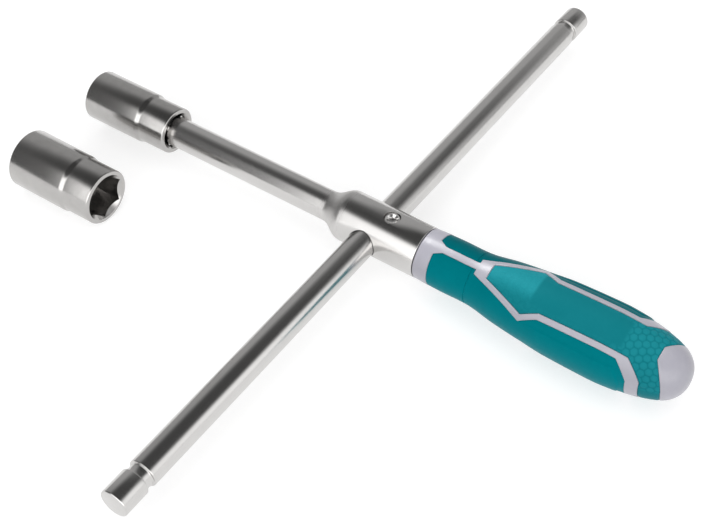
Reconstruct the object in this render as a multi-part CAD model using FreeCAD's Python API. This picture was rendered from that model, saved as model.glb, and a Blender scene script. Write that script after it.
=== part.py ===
"""Sliding-bar lug wrench: a forged shaft with a moulded handle, a sliding cross bar,
a double-ended socket on its square drive and a second socket lying beside it.

Frame: millimetres. The origin is the centre of the fitted socket's outer hex mouth.
+X runs along the shaft to the handle, +Y along the cross bar, +Z up.
"""

import math
import os

import FreeCAD
import Part

V = FreeCAD.Vector
X_AXIS = V(1, 0, 0)
Y_AXIS = V(0, 1, 0)
Z_AXIS = V(0, 0, 1)

# --- driving dimensions ------------------------------------------------------------

# shaft and head
REACH = 180.5               # outer hex mouth to the cross bar's axis
SHAFT_DIAMETER = 16.0
SHAFT_END_FILLET = 3.0      # rounded shoulder where the shaft drops to the drive
SHAFT_ENTRY = 2.5           # how far the round shaft goes into the socket
NOSE_TURN_DOWN = 1.0        # least room between the shaft's nose and the smaller hex
NOSE_RUN = 2.0              # the turned-down nose ends this far outside the socket
HEAD_DIAMETER = 26.8
HEAD_FRONT = 15.6           # bar axis to the front end of the head's round body
HEAD_BACK = 29.5            # bar axis to the handle
FLARE_LENGTH = 12.2         # the S-shaped run from shaft to head
HEAD_EDGE = 0.6             # broken edge at the handle end
HANDLE_SEAM = 0.4           # open seam between head and handle
TANG_DIAMETER = 14.0
TANG_FLATS = 12.0           # across the milled flats that stop the handle turning
TANG_LENGTH = 104.0
TANG_FLAT_START = 26.0      # handle front to the start of the flats
TANG_FLAT_LENGTH = 52.0
JOIN_OVERLAP = 1.0          # how far pieces of one forging run into each other

# cross bar
BAR_DIAMETER = 14.6
BAR_LENGTH = 400.0
BAR_REST_OFFSET = 5.0       # the bar's middle stands this far to +Y at rest
BAR_CLEARANCE = 0.08        # radial, in the head's bore
BAR_END_CHAMFER = 0.8
GROOVE_FROM_END = 14.2      # bar end to the near wall of the groove
GROOVE_WIDTH = 4.4
GROOVE_DEPTH = 1.2
GROOVE_EDGE = 0.5

# bar detent: a ball, a spring and a set screw beside the bar
DETENT_SIDE = 2.1           # bar's surface to the detent's axis, towards the handle
DETENT_BALL_DIAMETER = 5.0
DETENT_BORE_CLEARANCE = 0.1
DETENT_CONTACT_GAP = 0.02
DETENT_SPRING_LENGTH = 3.0
DETENT_DROP = 2.5           # how far the ball may fall below its place on the bar
SCREW_DIAMETER = 8.0
SCREW_RECESS = 1.1          # screw top below the top of the head
SCREW_FIT = 0.05
SCREW_HEX = 4.0
SCREW_HEX_SHARE = 0.65      # of the screw's length

# square drive
DRIVE_SQUARE = 12.7
DRIVE_EDGE = 0.8            # chamfer along the four corners
DRIVE_FIT = 0.08            # each side, in the socket's square
DRIVE_BALL_DIAMETER = 4.8
DRIVE_BALL_TRAVEL = 0.9
DRIVE_BALL_SUNK = 0.03      # the ball's top under the square's face at rest
DRIVE_BALL_CLEARANCE = 0.1
DRIVE_WELL_DEPTH = 9.5
DRIVE_TIP_GAP = 0.5         # the drive's tip to the end of the socket's web
DRIVE_CORNER_GAP = 0.35     # the turned-off corners inside the smaller hex's flats

# springs
SPRING_TURNS = 4
SPRING_WIRE = 0.6
SPRING_SIDE_GAP = 0.25

# sockets
SOCKET_LENGTH = 53.0
SOCKET_WEB = 15.0           # length of the square hole between the two hexes
SOCKET_SMALL_DEPTH = 17.5   # depth of the smaller hex
SOCKET_STEP_FROM_SMALL = 16.5
SOCKET_STEP_LENGTH = 1.8
SOCKET_EDGE = 0.8
SOCKET_LEAD_IN = 0.4        # how far the lead-in cone opens past the hex corners
SOCKET_LEAD_UNDERCUT = 0.1  # how far inside the flats the cone ends
FITTED_LARGE_HEX = 19.0
FITTED_SMALL_HEX = 17.0
FITTED_LARGE_OD = 27.0
FITTED_SMALL_OD = 25.2
SPARE_LARGE_HEX = 23.0
SPARE_SMALL_HEX = 21.0
SPARE_LARGE_OD = 31.2
SPARE_SMALL_OD = 29.6
SPARE_SPACING = 56.7        # from the fitted socket's axis, towards -Y
SPARE_ROLL = 16.5           # degrees that the lying socket has rolled

# handle
HANDLE_LENGTH = 140.0
HANDLE_CLOCKING = 16.5      # degrees about the shaft, the palm side leans to -Y
HANDLE_FRONT_DIAMETER = 26.4
HANDLE_NECK_DIAMETER = 27.2
HANDLE_BELLY_DIAMETER = 38.0
HANDLE_TAIL_DIAMETER = 27.8
HANDLE_TAIL_LENGTH = 9.6    # the domed end
DOME_ANGLE = 22.0           # degrees, the side's slope where the dome starts
DOME_FULLNESS = 0.6         # of the tail's radius, how full the dome's end is
NECK_LENGTH = 30.8          # handle front to the end of the slim neck
SWELL_STEPS = (             # (past the neck's end, share of the swell from neck to belly)
    (0.0, 0.01),
    (14.0, 0.42),
    (28.5, 0.72),
    (43.0, 0.90),
)
BELLY_PAST_MIDDLE = 6.0     # widest point past the middle of the belly
BELLY_END = 26.5            # from the tail's start back to the end of the belly
BELLY_END_SHARE = 0.97
TAPER_MIDDLE = 12.0         # from the tail's start back to the middle of the taper
TAPER_SHARE = 0.63
GRIP_THICKNESS = 2.0
SIDE_SEAM_FROM_NODE = 1.8   # seam ring to the end of the neck
SIDE_SEAM_WIDTH = 0.4
SIDE_SEAM_DEPTH = 0.5
CAP_PLUG_DIAMETER = 8.0
CAP_PLUG_LENGTH = 14.0

# the grey frame on the palm side, seen square on to it
COLLAR_LENGTH = 8.0
SPINE_WIDTH = 3.8
COLLAR_CORNER = 4.0         # the neck panel's cut corner, along the handle
COLLAR_CORNER_SIDE = 2.1    # and across it
NODE_WIDTH = 8.6            # block where the spine meets the frame
FRAME_TIP = 37.5            # handle front to the window's front edge
FRAME_TIP_WIDTH = 8.2
FRAME_WIDEST = 60.0         # handle front to the window's widest corners
FRAME_WIDEST_INNER = 24.6
FRAME_WIDEST_OUTER = 29.2
FRAME_WAIST = 68.6          # where the frame turns into the two straight stripes
STRIPE_INNER = 18.2
STRIPE_OUTER = 23.2
STRIPE_END = 31.0           # handle end to where the stripes' outer lines turn outwards
BAND_LENGTH = 4.8           # the band's length along the handle where it turns out
BAND_SIDE_LENGTH = 6.0      # and at the handle's side
BAND_RUN = 7.0              # how far back the band sweeps on its way to the side
BAND_CORNER_OUTER = 32.6
BAND_CORNER_INNER = 29.2
BAND_SIDE_SWEEP = 1.0       # and how far it goes on sweeping round the side
CAP_FRONT = 14.6            # handle end to the cap's short front edge
CAP_FRONT_WIDTH = 7.2
CAP_CORNER = 8.4
CAP_CORNER_WIDTH = 25.2
CAP_SIDE = 2.0

# --- worked out from them ----------------------------------------------------------

HANDLE_START = REACH + HEAD_BACK
SHAFT_START = SOCKET_LENGTH - SHAFT_ENTRY
WEB_START = SOCKET_LENGTH - SOCKET_SMALL_DEPTH - SOCKET_WEB
DRIVE_TIP = WEB_START + DRIVE_TIP_GAP
DRIVE_BALL_X = WEB_START + SOCKET_WEB / 2
DETENT_OFFSET = BAR_DIAMETER / 2 + DETENT_SIDE
DETENT_X = REACH + DETENT_OFFSET
DETENT_BORE_RADIUS = DETENT_BALL_DIAMETER / 2 + DETENT_BORE_CLEARANCE
CONTACT_DISTANCE = BAR_DIAMETER / 2 + DETENT_BALL_DIAMETER / 2 + DETENT_CONTACT_GAP
DETENT_BALL_Z = math.sqrt(CONTACT_DISTANCE ** 2 - DETENT_OFFSET ** 2)
SCREW_TOP_Z = HEAD_DIAMETER / 2 - SCREW_RECESS
SCREW_BOTTOM_Z = DETENT_BALL_Z + DETENT_BALL_DIAMETER / 2 + DETENT_SPRING_LENGTH
TABLE_Z = -HANDLE_BELLY_DIAMETER / 2


# --- small helpers -----------------------------------------------------------------

def cylinder(radius, length, start, along=X_AXIS):
    """A solid cylinder from the point start, running along the given direction."""
    return Part.makeCylinder(radius, length, start, along)


def revolve_about_x(edges):
    """The solid swept by a closed outline, drawn in the XZ plane, around the X axis."""
    face = Part.Face(Part.Wire(edges))
    return face.revolve(V(0, 0, 0), X_AXIS, 360)


def outline_edges(points):
    """Straight edges through the points in order, not closed."""
    return [Part.makeLine(a, b) for a, b in zip(points, points[1:])]


def closed_prism(points_xy, low_z, high_z):
    """An upright prism on a closed outline of (x, y) points."""
    points = [V(x, y, low_z) for x, y in points_xy]
    wire = Part.makePolygon(points + points[:1])
    return Part.Face(wire).extrude(V(0, 0, high_z - low_z))


def hex_prism(across_flats, start_x, length):
    """A hexagonal prism along the X axis with corners to +Z and -Z."""
    corner = across_flats / math.sqrt(3)
    points = []
    for k in range(7):
        angle = math.radians(60 * k)
        points.append(V(start_x, corner * math.sin(angle), corner * math.cos(angle)))
    return Part.Face(Part.makePolygon(points)).extrude(V(length, 0, 0))


def coil_spring(x, bottom_z, top_z, coil_diameter):
    """A round-wire compression spring at x, standing on bottom_z under top_z."""
    wire_radius = SPRING_WIRE / 2
    rise = top_z - bottom_z - SPRING_WIRE
    helix = Part.makeLongHelix(rise / SPRING_TURNS, rise, coil_diameter / 2)
    section = Part.Wire(Part.makeCircle(wire_radius, V(coil_diameter / 2, 0, 0), Y_AXIS))
    spring = Part.Wire(helix.Edges).makePipeShell([section], True, True)
    spring.translate(V(x, 0, bottom_z + wire_radius))
    return spring


def turn_handle(shape):
    """Turns a piece of the handle about the shaft to the handle's clocking."""
    turned = shape.copy()
    turned.rotate(V(0, 0, 0), X_AXIS, HANDLE_CLOCKING)
    return turned


# --- shaft, head and drive ---------------------------------------------------------

def flare_edges(start_x, end_x, start_r, end_r):
    """Two equal arcs that leave and arrive parallel to the shaft."""
    run = end_x - start_x
    rise = end_r - start_r
    radius = (run ** 2 + rise ** 2) / (4 * rise)
    half_turn = math.asin(run / 2 / radius) / 2
    middle = V((start_x + end_x) / 2, 0, (start_r + end_r) / 2)
    near = V(start_x + radius * math.sin(half_turn), 0, start_r + radius * (1 - math.cos(half_turn)))
    far = V(end_x - radius * math.sin(half_turn), 0, end_r - radius * (1 - math.cos(half_turn)))
    first = Part.Arc(V(start_x, 0, start_r), near, middle).toShape()
    second = Part.Arc(middle, far, V(end_x, 0, end_r)).toShape()
    return [first, second]


def shaft_nose_radius():
    """The shaft's end, turned down where it must be to enter the smaller hex."""
    return min(SHAFT_DIAMETER, FITTED_SMALL_HEX - NOSE_TURN_DOWN) / 2


def round_shaft():
    """Nose, shaft, flare and the round body of the head, as one turned shape."""
    nose = shaft_nose_radius()
    shaft = SHAFT_DIAMETER / 2
    head = HEAD_DIAMETER / 2
    fillet = SHAFT_END_FILLET
    step_x = SOCKET_LENGTH + NOSE_RUN
    flare_end = REACH - HEAD_FRONT
    flare_start = flare_end - FLARE_LENGTH
    head_end = HANDLE_START - HANDLE_SEAM
    corner = math.sqrt(0.5) * fillet
    bend = V(SHAFT_START + fillet - corner, 0, nose - fillet + corner)
    edges = outline_edges([V(SHAFT_START, 0, 0), V(SHAFT_START, 0, nose - fillet)])
    edges.append(Part.Arc(edges[-1].Vertexes[-1].Point, bend, V(SHAFT_START + fillet, 0, nose)).toShape())
    walk = [V(SHAFT_START + fillet, 0, nose), V(step_x, 0, nose)]
    if shaft > nose:
        walk.append(V(step_x, 0, shaft))
    walk.append(V(flare_start, 0, shaft))
    edges += outline_edges(walk)
    edges += flare_edges(flare_start, flare_end, shaft, head)
    edges += outline_edges([
        V(flare_end, 0, head),
        V(head_end - HEAD_EDGE, 0, head),
        V(head_end, 0, head - HEAD_EDGE),
        V(head_end, 0, 0),
        V(SHAFT_START, 0, 0),
    ])
    return revolve_about_x(edges)


def drive_square_bar(side, corner_radius, start_x, length):
    """A square bar along X whose corners are turned off to a circle."""
    square = Part.makeBox(length, side, side, V(start_x, -side / 2, -side / 2))
    return square.common(cylinder(corner_radius, length, V(start_x, 0, 0)))


def drive_corner_radius():
    """The square's turned-off corners clear the flats of the smaller hex."""
    return FITTED_SMALL_HEX / 2 - DRIVE_CORNER_GAP


def square_wire(side, x):
    """A square outline across the shaft at x."""
    half = side / 2
    points = [V(x, -half, -half), V(x, half, -half), V(x, half, half), V(x, -half, half)]
    return Part.makePolygon(points + points[:1])


def drive_tang():
    """The square that carries the socket, with its tip eased and a well for the ball."""
    end_x = SHAFT_START + JOIN_OVERLAP
    eased_x = DRIVE_TIP + DRIVE_EDGE
    sides = [
        square_wire(DRIVE_SQUARE - 2 * DRIVE_EDGE, DRIVE_TIP),
        square_wire(DRIVE_SQUARE, eased_x),
        square_wire(DRIVE_SQUARE, end_x),
    ]
    corner = drive_corner_radius()
    rounded = revolve_about_x(outline_edges([
        V(DRIVE_TIP, 0, 0),
        V(DRIVE_TIP, 0, corner - DRIVE_EDGE),
        V(eased_x, 0, corner),
        V(end_x, 0, corner),
        V(end_x, 0, 0),
        V(DRIVE_TIP, 0, 0),
    ]))
    tang = Part.makeLoft(sides, True, True).common(rounded)
    well_radius = DRIVE_BALL_DIAMETER / 2 + DRIVE_BALL_CLEARANCE
    floor = V(DRIVE_BALL_X, 0, DRIVE_SQUARE / 2 - DRIVE_WELL_DEPTH)
    return tang.cut(cylinder(well_radius, DRIVE_SQUARE, floor, Z_AXIS))


def handle_tang():
    """The end of the forging inside the handle, round with two milled flats."""
    start = HANDLE_START - HANDLE_SEAM - JOIN_OVERLAP
    tang = cylinder(TANG_DIAMETER / 2, HANDLE_START + TANG_LENGTH - start, V(start, 0, 0))
    depth = TANG_DIAMETER - TANG_FLATS / 2
    for low in (TANG_FLATS / 2, -TANG_DIAMETER):
        corner = V(HANDLE_START + TANG_FLAT_START, -TANG_DIAMETER, low)
        tang = tang.cut(Part.makeBox(TANG_FLAT_LENGTH, 2 * TANG_DIAMETER, depth, corner))
    return turn_handle(tang)


def bar_bore():
    """The cross hole for the bar."""
    radius = BAR_DIAMETER / 2 + BAR_CLEARANCE
    return cylinder(radius, 2 * HEAD_DIAMETER, V(REACH, -HEAD_DIAMETER, 0), Y_AXIS)


def detent_bores():
    """The stepped hole for the set screw, the spring and the ball."""
    screw_radius = SCREW_DIAMETER / 2 + SCREW_FIT
    low = DETENT_BALL_Z - DETENT_BALL_DIAMETER / 2 - DETENT_DROP
    narrow = cylinder(DETENT_BORE_RADIUS, HEAD_DIAMETER, V(DETENT_X, 0, low), Z_AXIS)
    wide = cylinder(screw_radius, HEAD_DIAMETER, V(DETENT_X, 0, SCREW_BOTTOM_Z), Z_AXIS)
    return narrow.fuse(wide)


def shaft_forging():
    """Shaft, head, square drive and handle tang: one forging."""
    body = round_shaft().fuse([drive_tang(), handle_tang()])
    body = body.cut([bar_bore(), detent_bores()])
    return body.removeSplitter()


# --- cross bar ---------------------------------------------------------------------

def cross_bar():
    """The sliding bar: a round rod with a groove near each end."""
    radius = BAR_DIAMETER / 2
    half = BAR_LENGTH / 2
    groove_far = half - GROOVE_FROM_END
    groove_near = groove_far - GROOVE_WIDTH
    floor = radius - GROOVE_DEPTH
    lip = GROOVE_EDGE
    side = [
        (half, 0.0),
        (half, radius - BAR_END_CHAMFER),
        (half - BAR_END_CHAMFER, radius),
        (groove_far + lip, radius),
        (groove_far, radius - lip),
        (groove_far, floor),
        (groove_near, floor),
        (groove_near, radius - lip),
        (groove_near - lip, radius),
    ]
    mirrored = [(-y, r) for y, r in reversed(side)]
    points = [V(0, y, r) for y, r in side + mirrored]
    wire = Part.makePolygon(points + points[:1])
    bar = Part.Face(wire).revolve(V(0, 0, 0), Y_AXIS, 360)
    bar.translate(V(REACH, BAR_REST_OFFSET, 0))
    return bar


# --- bar detent --------------------------------------------------------------------

def detent_screw():
    """The hex socket set screw that holds the detent's spring down."""
    length = SCREW_TOP_Z - SCREW_BOTTOM_Z
    blank = cylinder(SCREW_DIAMETER / 2, length, V(0, 0, 0))
    screw = blank.cut(hex_prism(SCREW_HEX, (1 - SCREW_HEX_SHARE) * length, length))
    screw.rotate(V(0, 0, 0), Y_AXIS, -90)
    screw.translate(V(DETENT_X, 0, SCREW_BOTTOM_Z))
    return screw


def detent_ball():
    """The steel ball that bears on the side of the bar."""
    return Part.makeSphere(DETENT_BALL_DIAMETER / 2, V(DETENT_X, 0, DETENT_BALL_Z))


def detent_spring():
    """The spring between the ball and the screw."""
    bottom = DETENT_BALL_Z + DETENT_BALL_DIAMETER / 2
    coil = 2 * DETENT_BORE_RADIUS - 2 * SPRING_SIDE_GAP - SPRING_WIRE
    return coil_spring(DETENT_X, bottom, SCREW_BOTTOM_Z, coil)


# --- drive ball --------------------------------------------------------------------

def drive_ball_z():
    """The ball's centre at rest, with the ball's top just under the square's face."""
    return DRIVE_SQUARE / 2 - DRIVE_BALL_DIAMETER / 2 - DRIVE_BALL_SUNK


def drive_ball():
    """The ball that snaps into the dimple in the socket's square."""
    return Part.makeSphere(DRIVE_BALL_DIAMETER / 2, V(DRIVE_BALL_X, 0, drive_ball_z()))


def drive_ball_spring():
    """The spring under the drive ball."""
    bottom = DRIVE_SQUARE / 2 - DRIVE_WELL_DEPTH
    top = drive_ball_z() - DRIVE_BALL_DIAMETER / 2
    coil = DRIVE_BALL_DIAMETER + 2 * DRIVE_BALL_CLEARANCE - 2 * SPRING_SIDE_GAP - SPRING_WIRE
    return coil_spring(DRIVE_BALL_X, bottom, top, coil)


# --- sockets -----------------------------------------------------------------------

def socket_blank(large_od, small_od):
    """The turned outside: large end, a short cone, small end, with eased rims."""
    large = large_od / 2
    small = small_od / 2
    edge = SOCKET_EDGE
    cone_end = SOCKET_LENGTH - SOCKET_STEP_FROM_SMALL
    cone_start = cone_end - SOCKET_STEP_LENGTH
    corner = math.sqrt(0.5) * edge
    rim_1 = Part.Arc(V(0, 0, large - edge), V(edge - corner, 0, large - edge + corner), V(edge, 0, large))
    end = SOCKET_LENGTH
    rim_2 = Part.Arc(V(end - edge, 0, small), V(end - edge + corner, 0, small - edge + corner),
                     V(end, 0, small - edge))
    edges = outline_edges([V(end, 0, 0), V(0, 0, 0), V(0, 0, large - edge)])
    edges.append(rim_1.toShape())
    edges += outline_edges([V(edge, 0, large), V(cone_start, 0, large), V(cone_end, 0, small),
                            V(end - edge, 0, small)])
    edges.append(rim_2.toShape())
    edges += outline_edges([V(end, 0, small - edge), V(end, 0, 0)])
    return revolve_about_x(edges)


def hex_recess(across_flats, mouth_x, depth, inward):
    """A hex recess and the lead-in cone at its mouth; inward is +1 or -1 along X."""
    start = mouth_x if inward > 0 else mouth_x - depth
    recess = hex_prism(across_flats, start, depth)
    wide = across_flats / math.sqrt(3) + SOCKET_LEAD_IN
    narrow = across_flats / 2 - SOCKET_LEAD_UNDERCUT
    lead = Part.makeCone(wide, narrow, wide - narrow, V(mouth_x, 0, 0), V(inward, 0, 0))
    return recess.fuse(lead)


def socket_hole():
    """The square hole through the web between the two recesses."""
    side = DRIVE_SQUARE + 2 * DRIVE_FIT
    corner = drive_corner_radius() + 3 * DRIVE_FIT
    start = WEB_START - JOIN_OVERLAP
    return drive_square_bar(side, corner, start, SOCKET_WEB + 2 * JOIN_OVERLAP)


def ball_dimple():
    """The pocket that the drive ball snaps into."""
    radius = DRIVE_BALL_DIAMETER / 2 + DRIVE_BALL_CLEARANCE
    return Part.makeSphere(radius, V(DRIVE_BALL_X, 0, drive_ball_z() + DRIVE_BALL_TRAVEL))


def double_socket(large_hex, small_hex, large_od, small_od):
    """A double-ended socket with its larger mouth at the origin."""
    socket = socket_blank(large_od, small_od)
    cuts = [
        hex_recess(large_hex, 0.0, WEB_START, 1),
        hex_recess(small_hex, SOCKET_LENGTH, SOCKET_SMALL_DEPTH, -1),
        socket_hole(),
        ball_dimple(),
    ]
    return socket.cut(cuts)


def fitted_socket():
    """The socket on the drive."""
    return double_socket(FITTED_LARGE_HEX, FITTED_SMALL_HEX, FITTED_LARGE_OD, FITTED_SMALL_OD)


def spare_socket():
    """The second socket, lying on the table beside the first."""
    socket = double_socket(SPARE_LARGE_HEX, SPARE_SMALL_HEX, SPARE_LARGE_OD, SPARE_SMALL_OD)
    socket.rotate(V(0, 0, 0), X_AXIS, SPARE_ROLL)
    socket.translate(V(0, -SPARE_SPACING, TABLE_Z + SPARE_LARGE_OD / 2))
    return socket


# --- handle ------------------------------------------------------------------------

def handle_stations(inset):
    """(distance from the handle's front, radius) along the handle's side."""
    front = HANDLE_FRONT_DIAMETER / 2 - inset
    neck = HANDLE_NECK_DIAMETER / 2 - inset
    belly = HANDLE_BELLY_DIAMETER / 2 - inset
    tail = HANDLE_TAIL_DIAMETER / 2 - inset
    tail_x = HANDLE_LENGTH - HANDLE_TAIL_LENGTH
    swell = belly - neck
    rise = [(NECK_LENGTH + x, neck + share * swell) for x, share in SWELL_STEPS]
    belly_x = (rise[-1][0] + tail_x - BELLY_END) / 2 + BELLY_PAST_MIDDLE
    return [(0.0, front), (NECK_LENGTH / 2, neck)] + rise + [
        (belly_x, belly),
        (tail_x - BELLY_END, neck + BELLY_END_SHARE * swell),
        (tail_x - TAPER_MIDDLE, tail + TAPER_SHARE * (belly - tail)),
        (tail_x, tail),
    ]


def handle_body(inset=0.0):
    """The handle's full round shape, or a smaller copy inset from its surface."""
    stations = handle_stations(inset)
    points = [V(HANDLE_START + x, 0, r) for x, r in stations]
    side = Part.BSplineCurve()
    side.interpolate(points)
    tail = points[-1]
    end_x = HANDLE_START + HANDLE_LENGTH - inset
    slope = math.radians(DOME_ANGLE)
    pull = HANDLE_TAIL_LENGTH / 2
    dome = Part.BezierCurve()
    dome.setPoles([
        tail,
        tail + V(pull * math.cos(slope), 0, -pull * math.sin(slope)),
        V(end_x, 0, DOME_FULLNESS * tail.z),
        V(end_x, 0, 0),
    ])
    edges = [side.toShape(), dome.toShape()]
    edges += outline_edges([V(end_x, 0, 0), V(HANDLE_START, 0, 0), points[0]])
    return revolve_about_x(edges)


def handle_skin():
    """The outer layer of the handle, where grey frame and soft grip share the surface."""
    return handle_body().cut(handle_body(GRIP_THICKNESS))


def mirrored_outline(points):
    """A closed outline from its +Y half, given from front to back."""
    return points + [(x, -y) for x, y in reversed(points)]


def handle_prism(points):
    """An upright prism through the whole handle on an outline measured from its front."""
    shifted = [(HANDLE_START + x, y) for x, y in points]
    return closed_prism(shifted, -HANDLE_BELLY_DIAMETER, HANDLE_BELLY_DIAMETER)


def cap_edge():
    """The cap's front edge, from the side in to the short front edge."""
    return [
        (HANDLE_LENGTH - CAP_SIDE, HANDLE_BELLY_DIAMETER),
        (HANDLE_LENGTH - CAP_CORNER, CAP_CORNER_WIDTH / 2),
        (HANDLE_LENGTH - CAP_FRONT, CAP_FRONT_WIDTH / 2),
    ]


def palm_outline():
    """Window, stripes' inner lines, band's back line and cap edge."""
    turn = HANDLE_LENGTH - STRIPE_END + BAND_LENGTH
    side = HANDLE_LENGTH - STRIPE_END + BAND_RUN + BAND_SIDE_LENGTH
    return mirrored_outline([
        (FRAME_TIP, FRAME_TIP_WIDTH / 2),
        (FRAME_WIDEST, FRAME_WIDEST_INNER / 2),
        (FRAME_WAIST, STRIPE_INNER / 2),
        (turn, STRIPE_INNER / 2),
        (side, BAND_CORNER_INNER / 2),
        (side + BAND_SIDE_SWEEP, HANDLE_BELLY_DIAMETER),
    ] + cap_edge())


def side_outline():
    """The +Y side grip: neck panel, frame's outer line, stripe and band's front line."""
    turn = HANDLE_LENGTH - STRIPE_END
    spine = SPINE_WIDTH / 2
    return [
        (COLLAR_LENGTH, HANDLE_BELLY_DIAMETER),
        (COLLAR_LENGTH, spine + COLLAR_CORNER_SIDE),
        (COLLAR_LENGTH + COLLAR_CORNER, spine),
        (NECK_LENGTH, spine),
        (NECK_LENGTH, NODE_WIDTH / 2),
        (FRAME_WIDEST, FRAME_WIDEST_OUTER / 2),
        (FRAME_WAIST, STRIPE_OUTER / 2),
        (turn, STRIPE_OUTER / 2),
        (turn + BAND_RUN, BAND_CORNER_OUTER / 2),
        (turn + BAND_RUN + BAND_SIDE_SWEEP, HANDLE_BELLY_DIAMETER),
    ]


def palm_grip_plain():
    """The soft grip over both palm faces, joined around the tail, before clocking."""
    return handle_skin().common(handle_prism(palm_outline()))


def side_grip_plain(side):
    """One soft side grip before clocking; side is +1 for +Y and -1 for -Y."""
    outline = [(x, side * y) for x, y in side_outline()]
    grip = handle_skin().common(handle_prism(outline))
    seam_x = HANDLE_START + NECK_LENGTH - SIDE_SEAM_FROM_NODE
    neck = HANDLE_NECK_DIAMETER / 2
    ring = cylinder(neck + GRIP_THICKNESS, SIDE_SEAM_WIDTH, V(seam_x, 0, 0))
    ring = ring.cut(cylinder(neck - SIDE_SEAM_DEPTH, SIDE_SEAM_WIDTH, V(seam_x, 0, 0)))
    return grip.cut(ring)


def end_cap_plain():
    """The grey domed cap with the plug that holds it, before clocking."""
    cap = handle_skin().common(handle_prism(mirrored_outline([
        (HANDLE_LENGTH + JOIN_OVERLAP, HANDLE_BELLY_DIAMETER),
    ] + cap_edge())))
    plug_end = HANDLE_START + HANDLE_LENGTH - GRIP_THICKNESS / 2
    plug_length = CAP_PLUG_LENGTH + GRIP_THICKNESS / 2
    plug = cylinder(CAP_PLUG_DIAMETER / 2, plug_length, V(plug_end - plug_length, 0, 0))
    return cap.fuse(plug).removeSplitter()


def handle_core_plain():
    """The hard core: everything in the handle that isn't grip, cap or tang."""
    pieces = [palm_grip_plain(), side_grip_plain(1), side_grip_plain(-1), end_cap_plain()]
    seam_fill = handle_body(GRIP_THICKNESS)
    core = handle_body().cut(pieces)
    return core.fuse(seam_fill.cut(end_cap_plain())).removeSplitter()


def handle_core():
    """The grey core with its collar, spine, frame, stripes and band."""
    return turn_handle(handle_core_plain()).cut(handle_tang())


def palm_grip():
    """The soft grip over both palm faces."""
    return turn_handle(palm_grip_plain())


def side_grip_right():
    """The soft grip on the +Y side."""
    return turn_handle(side_grip_plain(1))


def side_grip_left():
    """The soft grip on the -Y side."""
    return turn_handle(side_grip_plain(-1))


def end_cap():
    """The grey cap on the handle's end."""
    return turn_handle(end_cap_plain())


# --- all pieces --------------------------------------------------------------------

PIECES = {
    "shaft_forging": shaft_forging,
    "cross_bar": cross_bar,
    "detent_screw": detent_screw,
    "detent_spring": detent_spring,
    "detent_ball": detent_ball,
    "drive_ball": drive_ball,
    "drive_ball_spring": drive_ball_spring,
    "socket_17_19": fitted_socket,
    "socket_21_23": spare_socket,
    "handle_core": handle_core,
    "palm_grip": palm_grip,
    "side_grip_right": side_grip_right,
    "side_grip_left": side_grip_left,
    "end_cap": end_cap,
}


def main():
    """Builds every piece and writes it to parts/."""
    os.makedirs("parts", exist_ok=True)
    for name, make in PIECES.items():
        shape = make()
        print(f"{name}: {len(shape.Solids)} solid, {shape.Volume:.1f} mm3, valid {shape.isValid()}")
        shape.exportStep(f"parts/{name}.step")


main()
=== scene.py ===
# %% [markdown]
# # A sliding-bar lug wrench
# The wrench is a forged shaft with a moulded handle. A long bar slides through its head, a
# double-ended socket sits on its square drive, and a second socket lies beside it. The moving
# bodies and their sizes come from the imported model, and this script gives each visible piece its
# finished surface and material. Everything is in metres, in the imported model's own frame: the
# origin is the fitted socket's outer mouth, +X runs to the handle, +Y along the bar, +Z up.

import math

import bmesh
import bpy
from mathutils import Matrix, Vector, noise as bumps
from mathutils.geometry import interpolate_bezier
from mathutils.kdtree import KDTree


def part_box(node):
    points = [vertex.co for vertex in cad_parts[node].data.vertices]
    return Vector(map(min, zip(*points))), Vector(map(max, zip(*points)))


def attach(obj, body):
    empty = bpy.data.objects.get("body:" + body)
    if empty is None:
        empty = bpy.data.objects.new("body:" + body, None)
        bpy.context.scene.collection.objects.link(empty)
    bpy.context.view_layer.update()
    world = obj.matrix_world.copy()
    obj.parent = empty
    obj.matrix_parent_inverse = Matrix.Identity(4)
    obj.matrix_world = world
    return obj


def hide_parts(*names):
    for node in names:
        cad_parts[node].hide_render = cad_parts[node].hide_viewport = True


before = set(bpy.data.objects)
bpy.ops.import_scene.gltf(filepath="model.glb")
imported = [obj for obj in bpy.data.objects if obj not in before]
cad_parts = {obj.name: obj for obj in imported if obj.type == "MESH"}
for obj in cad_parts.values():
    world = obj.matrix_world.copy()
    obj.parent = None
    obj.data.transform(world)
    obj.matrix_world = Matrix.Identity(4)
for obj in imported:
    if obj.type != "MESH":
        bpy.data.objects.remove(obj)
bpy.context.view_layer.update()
print("nodes:", sorted(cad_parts))

# %% [markdown]
# ## Places that other pieces need
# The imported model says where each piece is, so the axes and ends are read from its boxes. Only
# the sizes that a box can't tell, such as a fillet, are written out here.

# %% Axes and ends read from the model
MM = 0.001
NOSE_INSIDE = 2.5 * MM


def size_of(node, axis):
    """The node's extent along an axis, in metres."""
    low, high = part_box(node)
    return high[axis] - low[axis]


def middle_of(node):
    """The centre of the node's box."""
    low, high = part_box(node)
    return Vector([(a + b) / 2 for a, b in zip(low, high)])


bar_middle = middle_of("cross_bar")
bar_radius = size_of("cross_bar", 0) / 2
bar_half = size_of("cross_bar", 1) / 2
reach = bar_middle.x
shaft_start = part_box("socket_17_19")[1][0] - NOSE_INSIDE
head_radius = size_of("shaft_forging", 1) / 2
handle_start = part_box("handle_core")[0][0]
handle_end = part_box("end_cap")[1][0]
handle_length = handle_end - handle_start
belly_radius = -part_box("palm_grip")[0][2]
socket_length = size_of("socket_17_19", 0)
spare_middle = middle_of("socket_21_23")
print("bar radius", round(bar_radius, 5), "reach", round(reach, 5), "handle", round(handle_length, 5))

# %% [markdown]
# ## Turned pieces
# The bar, the shaft and the sockets are turned on a lathe, so each starts as an outline beside
# its axis. Rounding the outline's corners first and then spinning it gives every edge its small
# radius, which is what catches the light on a real turned part.

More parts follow.
